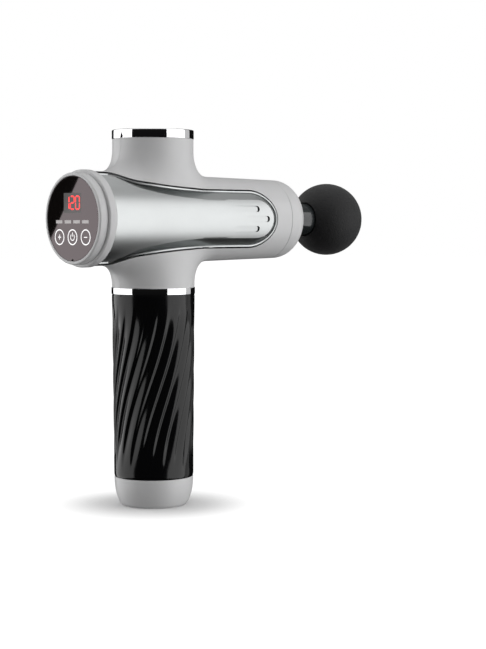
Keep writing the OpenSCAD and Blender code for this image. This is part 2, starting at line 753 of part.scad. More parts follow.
// Connecting rod, its two ends and what they turn on
module connecting_rod() color(steel) difference() {
    translate([0, 0, axis_z - rod_t / 2]) union() {
        translate([-crank_r, 0, 0]) cylinder(h = rod_t, r = big_end_r);
        translate([wrist_x, 0, 0]) cylinder(h = rod_t, r = small_end_r);
        translate([0, -4, 0]) cube([wrist_x, 8, rod_t]);
    }
    translate([-crank_r, 0, axis_z - 10]) cylinder(h = 20, r = bearing_r);
    translate([wrist_x, 0, axis_z - 10]) cylinder(h = 20, r = pin_r + fit_gap);
    for (s = [-1, 1]) translate([8, -2.5, axis_z + s * 4 - 2]) cube([20, 5, 4]);
}
module rod_bearing() color(steel) translate([-crank_r, 0, axis_z]) difference() {
    translate([0, 0, -bearing_t / 2]) cylinder(h = bearing_t, r = bearing_r);
    translate([0, 0, -10]) cylinder(h = 20, r = pin_r + fit_gap);
}
piston_slot_h = rod_t + 0.8;
module piston() color(steel) difference() {
    barrel_disc(piston_back_x, piston_front_x, piston_r);
    translate([piston_back_x - 1, -20, axis_z - piston_slot_h / 2])
        cube([wrist_x - piston_back_x + 9, 40, piston_slot_h]);
    translate([wrist_x, 0, axis_z - wrist_half]) cylinder(h = 2 * wrist_half, r = pin_r);
    along_barrel(piston_front_x - shank_len - 0.5) cylinder(h = 30, r = shank_r + fit_gap);
}
module wrist_pin() color(bright_chrome)
    translate([wrist_x, 0, axis_z - wrist_half]) cylinder(h = 2 * wrist_half, r = pin_r);

// Push-in massage head
groove_x = piston_front_x - 14;
groove_w = 2;
groove_r = 5.8;
module head_stem() color(dark_plastic) difference() {
    union() {
        barrel_disc(piston_front_x - shank_len, piston_front_x, shank_r);
        along_barrel(piston_front_x) rotate_extrude() polygon([
            [0, 0], [collar_r - 0.5, 0], [collar_r, 0.5], [collar_r, collar_len - 1.5],
            [collar_r - 1, collar_len + 1], [0, collar_len + 1]
        ]);
        barrel_disc(piston_front_x + collar_len, ball_x - 6, 7.5);
    }
    difference() {
        barrel_disc(groove_x, groove_x + groove_w, shank_r + 2);
        barrel_disc(groove_x - 1, groove_x + groove_w + 1, groove_r);
    }
}
module head_ring() color(rubber_black) along_barrel(groove_x + groove_w / 2)
    rotate_extrude() translate([groove_r + 0.6, 0]) circle(r = 0.6, $fn = 24);
module head_ball() color(foam_black) difference() {
    translate([ball_x, 0, axis_z]) rotate([0, 90, 0]) sphere(r = ball_r);
    barrel_disc(piston_front_x - 1, piston_front_x + collar_len + 1, collar_r + 0.05);
    barrel_disc(piston_front_x, ball_x - 6, 7.5);
}

// Screws
module frame_screw_cuts(r) {
    for (x = [-ledge_x, ledge_x]) for (s = [-1, 1])
        translate([x, s * ledge_y, plate_z - 5.6]) cylinder(h = 12, r = r);
}
module frame_screws() color(steel) {
    for (x = [-ledge_x, ledge_x]) for (s = [-1, 1]) translate([x, s * ledge_y, plate_z - 5.4]) {
        cylinder(h = 5.4 + plate_t, r = screw_r - 0.1);
        translate([0, 0, 5.4 + plate_t]) cylinder(h = 1.8, r = screw_head_r);
    }
    for (a = [0 : 90 : 270]) rotate([0, 0, a]) translate([9, 0, plate_z - 1.4]) {
        cylinder(h = 7.4, r = 1);
        cylinder(h = 1.4, r = 2);
    }
}
function head_depth(b) = b[0] < 0 ? 14 : 8;
module shell_screw_cuts(r, head_r) {
    for (b = shell_bosses) translate([b[0], 0, axis_z + b[1]]) rotate([-90, 0, 0]) {
        translate([0, 0, -1]) cylinder(h = 40, r = r);
        translate([0, 0, head_depth(b)]) cylinder(h = 30, r = head_r);
    }
}
module shell_screws() color(steel)
    for (b = shell_bosses) translate([b[0], 0, axis_z + b[1]]) rotate([-90, 0, 0]) {
        translate([0, 0, -8]) cylinder(h = 8 + head_depth(b), r = screw_r - 0.1);
        translate([0, 0, head_depth(b)]) cylinder(h = 1.8, r = screw_head_r);
    }

shell_left();
shell_right();
side_panel_left();
side_panel_right();
rear_ring();
bezel();
display_glass();
digit_module();
level_lights();
touch_springs();
display_board();
display_screws();
nose_cap();
nose_seal();
top_ring();
top_cap();
neck_ring();
handle_tube();
grip_sleeve();
base_cap();
charge_socket();
charge_pin();
switch_housing();
power_rocker();
base_screws();
cell_holder_lower();
battery_cells();
cell_links();
cell_holder_upper();
battery_board();
driver_board();
driver_parts();
battery_leads();
motor_leads();
display_leads();
drive_frame();
damper_rings();
front_bush();
motor_stator();
motor_windings();
motor_bearings();
rotor_bell();
rotor_magnets();
motor_shaft();
crank_disc();
crank_pin();
connecting_rod();
rod_bearing();
piston();
wrist_pin();
head_stem();
head_ring();
head_ball();
frame_screws();
shell_screws();
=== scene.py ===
from math import asin, cos, pi, radians, sin, sqrt, tan

import bmesh
import bpy
import numpy as np
from mathutils import Matrix, Vector, noise


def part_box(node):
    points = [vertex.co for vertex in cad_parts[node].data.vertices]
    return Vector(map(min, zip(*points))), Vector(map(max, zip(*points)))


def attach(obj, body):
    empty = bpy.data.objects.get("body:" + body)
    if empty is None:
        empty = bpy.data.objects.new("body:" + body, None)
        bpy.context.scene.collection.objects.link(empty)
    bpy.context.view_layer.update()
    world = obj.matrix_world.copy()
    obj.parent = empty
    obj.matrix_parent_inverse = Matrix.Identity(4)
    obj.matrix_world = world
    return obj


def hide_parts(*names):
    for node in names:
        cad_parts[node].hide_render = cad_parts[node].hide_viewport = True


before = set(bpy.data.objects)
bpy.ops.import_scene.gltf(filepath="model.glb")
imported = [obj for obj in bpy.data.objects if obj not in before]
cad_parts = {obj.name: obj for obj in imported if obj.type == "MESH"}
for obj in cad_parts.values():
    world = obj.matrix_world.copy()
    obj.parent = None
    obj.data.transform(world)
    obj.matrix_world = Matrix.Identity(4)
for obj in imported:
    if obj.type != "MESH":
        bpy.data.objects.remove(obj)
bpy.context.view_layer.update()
mm = 0.001

# stations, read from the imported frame
axisZ = (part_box("rear_ring")[0].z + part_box("rear_ring")[1].z) / 2
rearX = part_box("bezel")[0].x
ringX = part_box("rear_ring")[0].x
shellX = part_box("shell_right")[0].x
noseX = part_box("nose_cap")[0].x
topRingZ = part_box("shell_right")[1].z
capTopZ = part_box("top_ring")[1].z
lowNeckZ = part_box("neck_ring")[1].z
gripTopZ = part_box("grip_sleeve")[1].z
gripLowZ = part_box("grip_sleeve")[0].z
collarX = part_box("piston")[1].x
ballR = 23.5 * mm
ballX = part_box("head_ball")[1].x - ballR


def roundedPath(corners, steps):
    # a polyline of (radius, height, fillet) corners, each rounded by its fillet
    path = []
    for i, (r, z, fillet) in enumerate(corners):
        here = Vector((r, z))
        if fillet <= 0:
            path.append(here)
            continue
        back = (Vector(corners[i - 1][:2]) - here).normalized()
        ahead = (Vector(corners[(i + 1) % len(corners)][:2]) - here).normalized()
        half = back.angle(ahead) / 2
        centre = here + (back + ahead).normalized() * fillet / sin(half)
        start = here + back * fillet / tan(half) - centre
        end = here + ahead * fillet / tan(half) - centre
        for k in range(steps + 1):
            path.append(centre + start.lerp(end, k / steps).normalized() * fillet)
    return path


def spun(corners, place=None, closed=True, segments=144, steps=4):
    # a profile in millimetres, turned once round Z and then put in its place
    bm = bmesh.new()
    verts = [bm.verts.new((p.x * mm, 0, p.y * mm)) for p in roundedPath(corners, steps)]
    after = verts[1:] + verts[:1] if closed else verts[1:]
    edges = [bm.edges.new(pair) for pair in zip(verts, after)]
    bmesh.ops.spin(bm, geom=verts + edges, cent=(0, 0, 0), axis=(0, 0, 1),
                   angle=2 * pi, steps=segments, use_merge=True)
    bmesh.ops.remove_doubles(bm, verts=bm.verts, dist=2e-6)
    bmesh.ops.dissolve_degenerate(bm, edges=bm.edges, dist=1e-7)
    bmesh.ops.recalc_face_normals(bm, faces=bm.faces)
    if place:
        bmesh.ops.transform(bm, matrix=place, verts=bm.verts)
    return bm


def alongBarrel(x):
    # what is drawn up +Z then lies forwards along the barrel from x
    return Matrix.Translation((x, 0, axisZ)) @ Matrix.Rotation(radians(90), 4, "Y")


def upHandle(z):
    return Matrix.Translation((0, 0, z))


def makePiece(name, bm, body, materials, nodes=(), sharp=32):
    mesh = bpy.data.meshes.new(name)
    bm.to_mesh(mesh)
    bm.free()
    addPiece(name, mesh, body, materials, nodes, sharp)


def addPiece(name, mesh, body, materials, nodes=(), sharp=32):
    mesh.polygons.foreach_set("use_smooth", [True] * len(mesh.polygons))
    mesh.set_sharp_from_angle(angle=radians(sharp))
    mesh.materials.clear()
    for material in materials:
        mesh.materials.append(material)
    obj = bpy.data.objects.new(name, mesh)
    bpy.context.scene.collection.objects.link(obj)
    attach(obj, body)
    if nodes:
        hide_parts(*nodes)
    return obj


def modified(bm, *modifiers):
    # the mesh after these modifiers, each a (type, settings) pair
    mesh = bpy.data.meshes.new("work")
    bm.to_mesh(mesh)
    bm.free()
    obj = bpy.data.objects.new("work", mesh)
    bpy.context.scene.collection.objects.link(obj)
    helpers = []
    for kind, settings in modifiers:
        modifier = obj.modifiers.new(kind, kind)
        for key, value in settings.items():
            setattr(modifier, key, value)
            if key == "object":
                helpers.append(value)
    evaluated = obj.evaluated_get(bpy.context.evaluated_depsgraph_get())
    result = bpy.data.meshes.new_from_object(evaluated)
    for thing in [obj] + helpers:
        bpy.data.objects.remove(thing)
    return result


def cutter(bm):
    # a helper object for a Boolean, which modified() removes again
    mesh = bpy.data.meshes.new("cutter")
    bm.to_mesh(mesh)
    bm.free()
    obj = bpy.data.objects.new("cutter", mesh)
    bpy.context.scene.collection.objects.link(obj)
    return obj


def cutAway(helper):
    return "BOOLEAN", dict(operation="DIFFERENCE", solver="EXACT", object=helper)


def shellOf(thickness):
    # a wall that grows inwards from a surface
    return "SOLIDIFY", dict(thickness=thickness * mm, offset=-1, use_even_offset=False, use_rim=True)


def faceOutwards(bm, side):
    # an open surface's normals point away from the gun on that side
    bmesh.ops.recalc_face_normals(bm, faces=bm.faces)
    flank = max(bm.faces, key=lambda f: side * f.calc_center_median().y)
    if side * flank.normal.y < 0:
        bmesh.ops.reverse_faces(bm, faces=bm.faces)


def raisedPrism(bm, points):
    # a flat face through the points and a copy of it joined by walls; gives the copy's vertices
    face = bm.faces.new([bm.verts.new(p) for p in points])
    grown = bmesh.ops.extrude_face_region(bm, geom=[face])
    return [v for v in grown["geom"] if isinstance(v, bmesh.types.BMVert)]


def meshToBm(mesh):
    bm = bmesh.new()
    bm.from_mesh(mesh)
    bpy.data.meshes.remove(mesh)
    return bm


# camera and light
cameraSetup = dict(place=(-0.637, -0.778, 0.169), azimuth=-42.4, pitch=3.41, lens=92.2)


def makeCamera():
    camera = bpy.data.cameras.new("camera")
    camera.lens = cameraSetup["lens"]
    camera.sensor_width = 36
    camera.clip_end = 50
    obj = bpy.data.objects.new("camera", camera)
    bpy.context.scene.collection.objects.link(obj)
    obj.location = cameraSetup["place"]
    obj.rotation_euler = (radians(90 - cameraSetup["pitch"]), 0, radians(cameraSetup["azimuth"]))
    bpy.context.scene.camera = obj


# each light stands at a turn and height round the gun; turn 0 is on the lens's side
lightSetup = dict(
    leftStrip=dict(turn=-101, height=0.22, far=1.1, size=(1.9, 1.5), power=13.5),
    rightStrip=dict(turn=70, height=0.2, far=1.1, size=(1.3, 1.6), power=12),
    sideFill=dict(turn=112, height=0.2, far=1.15, size=(0.5, 1.4), power=1.2),
    overhead=dict(far=1.4, size=(1.6, 1.6), power=7),
)


def aimedLight(name, place, target, size, power):
    light = bpy.data.lights.new(name, "AREA")
    light.shape = "RECTANGLE"
    light.size, light.size_y = size
    light.energy = power
    obj = bpy.data.objects.new(name, light)
    bpy.context.scene.collection.objects.link(obj)
    obj.location = place
    obj.rotation_euler = (Vector(target) - Vector(place)).to_track_quat("-Z", "Y").to_euler()
    obj.visible_camera = False


def makeLights():
    lens = Vector(cameraSetup["place"])
    facing = np.arctan2(lens.y, lens.x)
    centre = Vector((0, 0, axisZ))
    for name in ("leftStrip", "rightStrip", "sideFill"):
        s = lightSetup[name]
        angle = facing + radians(s["turn"])
        place = centre + Vector((cos(angle), sin(angle), 0)) * s["far"]
        place.z = s["height"]
        aimedLight(name, place, (0, 0, s["height"]), s["size"], s["power"])
    top = lightSetup["overhead"]
    aimedLight("overhead", (0, 0, top["far"]), (0, 0, 0), top["size"], top["power"])


worldSetup = dict(background=1.0, fill=0.2, above=0.30, level=0.006, below=0.003)


def grey(value):
    return value, value, value, 1


def colourMix(tree):
    mix = tree.nodes.new("ShaderNodeMix")
    mix.data_type = "RGBA"
    return mix


def makeWorld():
    # white behind the gun, dark all round it in reflections, and a little fill on matte surfaces
    world = bpy.data.worlds.new("studio")
    world.use_nodes = True
    bpy.context.scene.world = world
    tree = world.node_tree
    shade = tree.nodes["Background"]
    seen = tree.nodes.new("ShaderNodeLightPath")
    coordinates = tree.nodes.new("ShaderNodeTexCoord")
    split = tree.nodes.new("ShaderNodeSeparateXYZ")
    ramp = tree.nodes.new("ShaderNodeValToRGB")
    lift = tree.nodes.new("ShaderNodeMapRange")
    lift.inputs["From Min"].default_value = -1
    mix = colourMix(tree)
    soft = colourMix(tree)
    stops = ramp.color_ramp
    stops.elements[0].position = 0.3
    stops.elements[0].color = grey(worldSetup["below"])
    stops.elements[1].position = 0.95
    stops.elements[1].color = grey(worldSetup["above"])
    middle = stops.elements.new(0.6)
    middle.color = grey(worldSetup["level"])
    mix.inputs["B"].default_value = grey(worldSetup["background"])
    soft.inputs["B"].default_value = grey(worldSetup["fill"])
    link = tree.links.new
    link(coordinates.outputs["Generated"], split.inputs[0])
    link(split.outputs["Z"], lift.inputs["Value"])
    link(lift.outputs["Result"], ramp.inputs["Fac"])
    link(seen.outputs["Is Camera Ray"], mix.inputs["Factor"])
    link(seen.outputs["Is Diffuse Ray"], soft.inputs["Factor"])
    link(ramp.outputs["Color"], soft.inputs["A"])
    link(soft.outputs["Result"], mix.inputs["A"])
    link(mix.outputs["Result"], shade.inputs["Color"])


floorSetup = dict(size=6, near=0.015, far=0.07, glow=1.1, paper=0.82)


def stageObject(bm, name, material):
    mesh = bpy.data.meshes.new(name)
    bm.to_mesh(mesh)
    bm.free()
    mesh.materials.append(material)
    obj = bpy.data.objects.new(name, mesh)
    bpy.context.scene.collection.objects.link(obj)
    obj.visible_diffuse = False
    return obj


def makeFloor():
    # pale paper near the foot, which catches the shadow, running out into an even white
    bm = bmesh.new()
    bmesh.ops.create_grid(bm, x_segments=1, y_segments=1, size=floorSetup["size"])
    paper = bpy.data.materials.new("studioPaper")
    paper.use_nodes = True
    tree = paper.node_tree
    shader = tree.nodes["Principled BSDF"]
    shader.inputs["Roughness"].default_value = 0.9
    shader.inputs["Specular IOR Level"].default_value = 0
    shader.inputs["Emission Strength"].default_value = floorSetup["glow"]
    place = tree.nodes.new("ShaderNodeTexCoord")
    length = tree.nodes.new("ShaderNodeVectorMath")
    length.operation = "LENGTH"
    spread = tree.nodes.new("ShaderNodeMapRange")
    spread.interpolation_type = "SMOOTHSTEP"
    spread.inputs["From Min"].default_value = floorSetup["near"]
    spread.inputs["From Max"].default_value = floorSetup["far"]
    base = colourMix(tree)
    base.inputs["A"].default_value = grey(floorSetup["paper"])
    base.inputs["B"].default_value = grey(0)
    link = tree.links.new
    link(place.outputs["Object"], length.inputs[0])
    link(length.outputs["Value"], spread.inputs["Value"])
    link(spread.outputs["Result"], shader.inputs["Emission Color"])
    link(spread.outputs["Result"], base.inputs["Factor"])
    link(base.outputs["Result"], shader.inputs["Base Color"])
    floor = stageObject(bm, "floor", paper)
    floor.visible_glossy = False


# edge points are (left, up) on the glass in millimetres, and reach is how far beyond it the card stands
glassFlag = dict(reach=0.2, start=(-18, 38.6), end=(33, -26.5), width=40)


def makeGlassFlag():
    # a black card beside the gun; its slanted edge cuts the soft light that the glass mirrors
    mirror = Vector(cameraSetup["place"])
    mirror.x = 2 * rearX - mirror.x
    first, second = (Vector((0, *p)) for p in (glassFlag["start"], glassFlag["end"]))
    away = Vector((1, 0, 0)).cross(second - first).normalized() * glassFlag["width"]
    bm = bmesh.new()
    corners = []
    for p in (first, second, second + away, first + away):
        onGlass = Vector((rearX, 0, axisZ)) + p * mm
        corners.append(bm.verts.new(onGlass + (onGlass - mirror) * glassFlag["reach"]))
    bm.faces.new(corners)
    black = bpy.data.materials.new("flagCloth")
    black.use_nodes = True
    shader = black.node_tree.nodes["Principled BSDF"]
    shader.inputs["Base Color"].default_value = grey(0.003)
    shader.inputs["Specular IOR Level"].default_value = 0
    flag = stageObject(bm, "glassFlag", black)
    flag.visible_camera = False
    flag.visible_shadow = False


makeCamera()
makeLights()
makeWorld()
makeFloor()
makeGlassFlag()
bpy.context.scene.view_settings.view_transform = "Standard"
print("studio ready")


# shared effects as shader groups
def newGroup(name, inputs, outputs):
    group = bpy.data.node_groups.new(name, "ShaderNodeTree")
    for socket, kind, value in inputs:
        made = group.interface.new_socket(socket, in_out="INPUT", socket_type=kind)
        if value is not None:
            made.default_value = value
    for socket, kind in outputs:
        group.interface.new_socket(socket, in_out="OUTPUT", socket_type=kind)
    return group, group.nodes.new("NodeGroupInput"), group.nodes.new("NodeGroupOutput")


def grainGroup():
    # moulded surface: two sizes of noise as a height and a mask
    group, given, result = newGroup(
        "mouldedGrain",
        [("Coordinates", "NodeSocketVector", None), ("Scale", "NodeSocketFloat", 900.0),
         ("Coarse Share", "NodeSocketFloat", 0.35)],
        [("Height", "NodeSocketFloat"), ("Mask", "NodeSocketFloat")])
    fine = group.nodes.new("ShaderNodeTexNoise")
    fine.inputs["Detail"].default_value = 2
    coarse = group.nodes.new("ShaderNodeTexNoise")
    coarse.inputs["Detail"].default_value = 3
    divide = group.nodes.new("ShaderNodeMath")
    divide.operation = "DIVIDE"
    divide.inputs[1].default_value = 14
    mix = group.nodes.new("ShaderNodeMix")
    link = group.links.new
    link(given.outputs["Coordinates"], fine.inputs["Vector"])
    link(given.outputs["Coordinates"], coarse.inputs["Vector"])
    link(given.outputs["Scale"], fine.inputs["Scale"])
    link(given.outputs["Scale"], divide.inputs[0])
    link(divide.outputs[0], coarse.inputs["Scale"])
    link(given.outputs["Coarse Share"], mix.inputs["Factor"])
    link(fine.outputs["Fac"], mix.inputs["A"])
    link(coarse.outputs["Fac"], mix.inputs["B"])
    link(mix.outputs["Result"], result.inputs["Height"])
    link(coarse.outputs["Fac"], result.inputs["Mask"])
    return group


def handlingGroup():
    # faint smears from handling, and a little dust on what faces up
    group, given, result = newGroup(
        "handling",
        [("Coordinates", "NodeSocketVector", None), ("Scale", "NodeSocketFloat", 38.0),
         ("Amount", "NodeSocketFloat", 0.5)],
        [("Smear", "NodeSocketFloat"), ("Dust", "NodeSocketFloat")])
    smear = group.nodes.new("ShaderNodeTexNoise")
    smear.inputs["Detail"].default_value = 5
    smear.inputs["Distortion"].default_value = 1.4
    level = group.nodes.new("ShaderNodeMapRange")
    level.inputs["From Min"].default_value = 0.42
    level.inputs["From Max"].default_value = 0.72
    specks = group.nodes.new("ShaderNodeTexNoise")
    specks.inputs["Scale"].default_value = 2600
    speckLevel = group.nodes.new("ShaderNodeMapRange")
    speckLevel.inputs["From Min"].default_value = 0.66
    speckLevel.inputs["From Max"].default_value = 0.74
    facing = group.nodes.new("ShaderNodeNewGeometry")
    split = group.nodes.new("ShaderNodeSeparateXYZ")
    up = group.nodes.new("ShaderNodeMath")
    up.operation = "MULTIPLY"
    up.use_clamp = True
    scaled = group.nodes.new("ShaderNodeMath")
    scaled.operation = "MULTIPLY"
    link = group.links.new
    link(given.outputs["Coordinates"], smear.inputs["Vector"])
    link(given.outputs["Coordinates"], specks.inputs["Vector"])
    link(given.outputs["Scale"], smear.inputs["Scale"])
    link(smear.outputs["Fac"], level.inputs["Value"])
    link(level.outputs["Result"], scaled.inputs[0])
    link(given.outputs["Amount"], scaled.inputs[1])
    link(scaled.outputs[0], result.inputs["Smear"])
    link(facing.outputs["Normal"], split.inputs[0])
    link(specks.outputs["Fac"], speckLevel.inputs["Value"])
    link(split.outputs["Z"], up.inputs[0])
    link(speckLevel.outputs["Result"], up.inputs[1])
    link(up.outputs[0], result.inputs["Dust"])
    return group


moulded = grainGroup()
handled = handlingGroup()


def surface(name, look):
    # one Principled shader with grain in its bump, smears in its roughness and a tint that varies
    material = bpy.data.materials.new(name)
    material.use_nodes = True
    tree = material.node_tree
    shader = tree.nodes["Principled BSDF"]
    colour = look["colour"]
    shader.inputs["Metallic"].default_value = look.get("metallic", 0)
    shader.inputs["IOR"].default_value = look.get("ior", 1.5)
    shader.inputs["Specular Tint"].default_value = (*look.get("specularTint", (1, 1, 1)), 1)
    coordinates = tree.nodes.new("ShaderNodeTexCoord")
    link = tree.links.new
    grain = tree.nodes.new("ShaderNodeGroup")
    grain.node_tree = moulded
    grain.inputs["Scale"].default_value = look.get("grainScale", 900)
    grain.inputs["Coarse Share"].default_value = look.get("coarse", 0.35)
    link(coordinates.outputs["Object"], grain.inputs["Coordinates"])
    bump = tree.nodes.new("ShaderNodeBump")
    bump.inputs["Strength"].default_value = look.get("bump", 0.1)
    bump.inputs["Distance"].default_value = look.get("bumpDepth", 0.05) * mm
    link(grain.outputs["Height"], bump.inputs["Height"])
    link(bump.outputs["Normal"], shader.inputs["Normal"])
    wear = tree.nodes.new("ShaderNodeGroup")
    wear.node_tree = handled
    link(coordinates.outputs["Object"], wear.inputs["Coordinates"])
    rough = tree.nodes.new("ShaderNodeMapRange")
    rough.inputs["To Min"].default_value = look["roughness"]
    rough.inputs["To Max"].default_value = look["roughness"] + look.get("smearRoughness", 0.06)
    link(wear.outputs["Smear"], rough.inputs["Value"])
    link(rough.outputs["Result"], shader.inputs["Roughness"])
    tint = colourMix(tree)
    tint.inputs["A"].default_value = (*colour, 1)
    shift = look.get("tint", 0.94)
    tint.inputs["B"].default_value = (*[c * shift for c in colour], 1)
    link(grain.outputs["Mask"], tint.inputs["Factor"])
    dusted = colourMix(tree)
    dusted.inputs["B"].default_value = (*[min(1, c + look.get("dust", 0.05)) for c in colour], 1)
    link(wear.outputs["Dust"], dusted.inputs["Factor"])
    link(tint.outputs["Result"], dusted.inputs["A"])
    link(dusted.outputs["Result"], shader.inputs["Base Color"])
    return material


looks = dict(
    greyPlastic=dict(colour=(0.66, 0.66, 0.665), roughness=0.4, grainScale=1500, bump=0.12),
    silverPaint=dict(colour=(0.55, 0.565, 0.565), roughness=0.42, metallic=1, grainScale=5200,
                     coarse=0.1, bump=0.12, bumpDepth=0.02, tint=0.97),
    # the bevel's silver, darkened to about a third as painted shade for the darker light it mirrors
    bevelSilverPaintedShade=dict(colour=(0.21, 0.21, 0.22), roughness=0.42, metallic=0.85, grainScale=5200,
                    coarse=0.1, bump=0.1, bumpDepth=0.02, tint=0.96),
    chrome=dict(colour=(0.9, 0.9, 0.91), roughness=0.045, metallic=1, grainScale=400, bump=0.02,
                smearRoughness=0.03, tint=1.0, dust=0),
    glossBlack=dict(colour=(0.004, 0.004, 0.0045), roughness=0.14, grainScale=1200, bump=0.04,
                    ior=1.4, smearRoughness=0.05, dust=0.02),
    darkPlastic=dict(colour=(0.02, 0.024, 0.025), roughness=0.16, grainScale=1800, bump=0.05,
                     ior=1.6),
    panelGlass=dict(colour=(0.008, 0.0065, 0.006), roughness=0.025, grainScale=60, bump=0.0,
                    ior=1.9, specularTint=(1, 0.82, 0.86), smearRoughness=0.02, dust=0.01),
    rubber=dict(colour=(0.02, 0.02, 0.02), roughness=0.75, grainScale=2000, bump=0.3),
    steel=dict(colour=(0.55, 0.56, 0.58), roughness=0.28, metallic=1, grainScale=3000, bump=0.1),
    alloy=dict(colour=(0.62, 0.63, 0.65), roughness=0.42, metallic=1, grainScale=1100, bump=0.3),
    copper=dict(colour=(0.72, 0.33, 0.16), roughness=0.32, metallic=1, grainScale=1500, bump=0.2),
    brass=dict(colour=(0.78, 0.6, 0.27), roughness=0.3, metallic=1, grainScale=1500, bump=0.1),
    board=dict(colour=(0.02, 0.16, 0.07), roughness=0.4, grainScale=1200, bump=0.15, tint=0.7),
    cellWrap=dict(colour=(0.03, 0.13, 0.4), roughness=0.3, grainScale=300, bump=0.08),
    bearingPlastic=dict(colour=(0.7, 0.67, 0.58), roughness=0.45, grainScale=900, bump=0.1),
    magnet=dict(colour=(0.1, 0.1, 0.11), roughness=0.4, metallic=1, grainScale=1600, bump=0.2),
    wire=dict(colour=(0.06, 0.06, 0.06), roughness=0.5, grainScale=2500, bump=0.1),
    windowTint=dict(colour=(0.13, 0.12, 0.12), roughness=0.12, grainScale=2500, bump=0.02),
)
finish = {name: surface(name, look) for name, look in looks.items()}


def litMaterial(name, colour, strength):
    # light behind a diffuser, a little uneven
    material = surface(name, dict(colour=colour, roughness=0.3, grainScale=700, bump=0.02))
    tree = material.node_tree
    shader = tree.nodes["Principled BSDF"]
    shader.inputs["Emission Strength"].default_value = strength
    spots = tree.nodes.new("ShaderNodeTexNoise")
    spots.inputs["Scale"].default_value = 500
    mix = colourMix(tree)
    mix.inputs["A"].default_value = (*colour, 1)
    mix.inputs["B"].default_value = (*[c * 0.8 for c in colour], 1)
    link = tree.links.new
    link(tree.nodes["Texture Coordinate"].outputs["Object"], spots.inputs["Vector"])
    link(spots.outputs["Fac"], mix.inputs["Factor"])
    link(mix.outputs["Result"], shader.inputs["Emission Color"])
    return material


finish["redLight"] = litMaterial("redLight", (0.95, 0.03, 0.03), 1.4)
finish["whiteLight"] = litMaterial("whiteLight", (0.9, 0.9, 0.9), 0.75)
finish["dimLight"] = litMaterial("dimLight", (0.42, 0.4, 0.4), 0.45)


def foamMaterial():
    # closed-cell foam: small open pores over a soft grain
    material = surface("foam", dict(colour=(0.006, 0.006, 0.007), roughness=0.72, grainScale=1300,
                                    bump=0.35, bumpDepth=0.1, tint=0.7, dust=0.08))
    tree = material.node_tree
    shader = tree.nodes["Principled BSDF"]
    shader.inputs["Sheen Weight"].default_value = 0.1
    pores = tree.nodes.new("ShaderNodeTexVoronoi")
    pores.inputs["Scale"].default_value = 700
    depth = tree.nodes.new("ShaderNodeMapRange")
    depth.inputs["From Max"].default_value = 0.45
    bump = tree.nodes.new("ShaderNodeBump")
    bump.inputs["Strength"].default_value = 0.6
    bump.inputs["Distance"].default_value = 0.25 * mm
    link = tree.links.new
    link(tree.nodes["Texture Coordinate"].outputs["Object"], pores.inputs["Vector"])
    link(pores.outputs["Distance"], depth.inputs["Value"])
    link(depth.outputs["Result"], bump.inputs["Height"])
    link(tree.nodes["Bump"].outputs["Normal"], bump.inputs["Normal"])
    link(bump.outputs["Normal"], shader.inputs["Normal"])
    return material


finish["foam"] = foamMaterial()
print("materials ready")


# the housing: barrel and necks run into each other with a rounded flare
housing = dict(barrelR=26.9, taper=0.0203, upperNeckR=24.4, lowerNeckR=24.9, upperBlend=17,
               lowerBlend=16, voxel=0.8, wall=2.4, seamGap=0.07, spare=4, beyond=40)
panel = dict(half=11.6, tip=76, channelTip=80, lift=0.3, channelDepth=1.7, wall=0.8, edge=0.25,
             wrap=63, channelWrap=79, rim=0.85, rimSunk=0.5, rimLeast=0.3)
ventSlots = dict(width=3.65, length=21, pitch=6.2, outerX=43.4, middleX=51.6, start=0.4, slope=0.28,
                 vent=1.0, through=6, clear=2, narrow=0.12)


def barrelR(x):
    # in metres, as x is
    return housing["barrelR"] * mm - housing["taper"] * x


def panelHalf(x):
    # half-height of the silver panel in millimetres, x in millimetres
    back = max(0, 25 - x)
    flare = max(0, back - 50)
    half = panel["half"] + 2.5 * (back / 33) ** 1.9 + 2.7 * (flare / 13.6) ** 2
    return min(half, barrelR(x * mm) / mm * sin(radians(panel["wrap"])))


def channelHalf(x):
    half = panelHalf(x) + 6.4 - 1.6 * max(0, min(1, (10 - x) / 40))
    return min(half, barrelR(x * mm) / mm * sin(radians(panel["channelWrap"])))


def rimHalf(x):
    # the channel's half-height, less the rim's width along the barrel's surface
    r = barrelR(x * mm) / mm
    return r * sin(asin(channelHalf(x) / r) - panel["rim"] / r)


def outline(tip, half, count=64, arc=24):
    # from the back, along the top to the round front end, in millimetres
    end = tip - half(tip)
    start = shellX / mm
    straight = [start + (end - start) * i / count for i in range(count)]
    points = [(x, half(x)) for x in straight]
    for k in range(arc + 1):
        turn = pi / 2 * (1 - k / arc)
        points.append((end + half(tip) * cos(turn), half(tip) * sin(turn)))
    return points


def housingField(p):
    # below zero inside; the blend fades where the two walls run side by side
    up = p[:, 2] - axisZ
    fromBarrel = np.hypot(p[:, 1], up)
    fromHandle = np.hypot(p[:, 0], p[:, 1])
    barrel = fromBarrel - barrelR(p[:, 0])
    above = up > 0
    neck = fromHandle - np.where(above, housing["upperNeckR"], housing["lowerNeckR"]) * mm
    aligned = p[:, 1] ** 2 / np.maximum(fromBarrel * fromHandle, 1e-9)
    blend = np.where(above, housing["upperBlend"], housing["lowerBlend"]) * mm * (1 - aligned ** 4)
    blend = np.maximum(blend, 0.2 * mm)
    h = np.clip(0.5 + 0.5 * (neck - barrel) / blend, 0, 1)
    return neck + (barrel - neck) * h - blend * h * (1 - h)


def settleOnField(bm, rounds):
    # moves every vertex onto the blended surface
    p = np.array([v.co for v in bm.verts], float)
    step = 0.02 * mm
    for _ in range(rounds):
        value = housingField(p)
        slope = np.stack([(housingField(p + d) - housingField(p - d)) / (2 * step)
                          for d in np.eye(3) * step], axis=1)
        size = np.maximum((slope ** 2).sum(axis=1), 0.2)
        move = slope * (value / size)[:, None]
        p -= np.clip(move, -mm, mm)
    for v, co in zip(bm.verts, p):
        v.co = co


